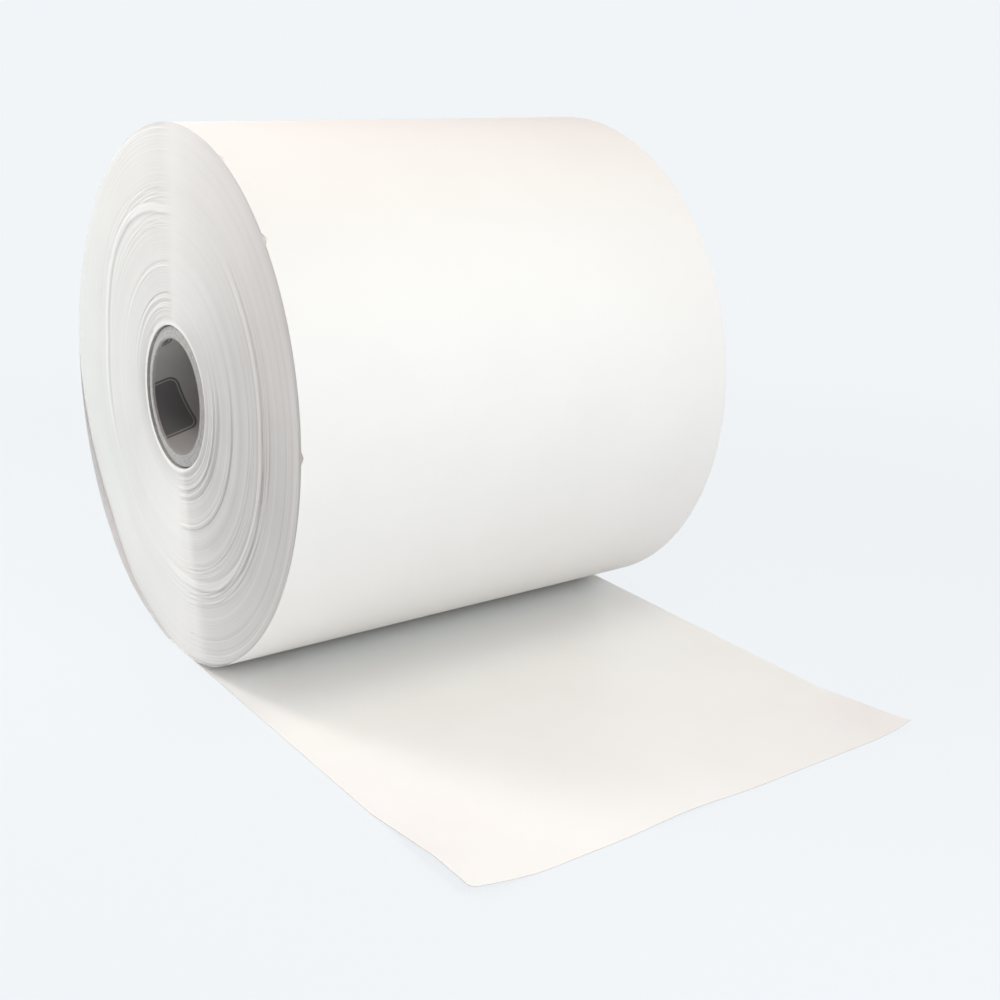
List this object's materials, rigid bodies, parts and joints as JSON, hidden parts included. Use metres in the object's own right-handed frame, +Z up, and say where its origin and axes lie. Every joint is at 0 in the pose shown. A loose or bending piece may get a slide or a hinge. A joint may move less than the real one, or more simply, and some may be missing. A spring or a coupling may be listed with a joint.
{
  "type": "receipt paper roll",
  "caption": "Roll of blank receipt paper wound on a board core, lying on its side with its loose end drawn out flat in front.",
  "frame": {"origin": "on the surface the roll lies on, in the middle of its flattened underside, below the middle of the core", "axes": "+X along the core, +Z up, and the loose end of the paper points to -Y"},
  "size_m": [0.0804, 0.132, 0.0877],
  "materials": {
    "core_board": "matt grey board",
    "receipt_paper": "smooth matt white"
  },
  "bodies": {
    "root": {"core": "core_board", "paper": "receipt_paper"}
  },
  "joints": []
}
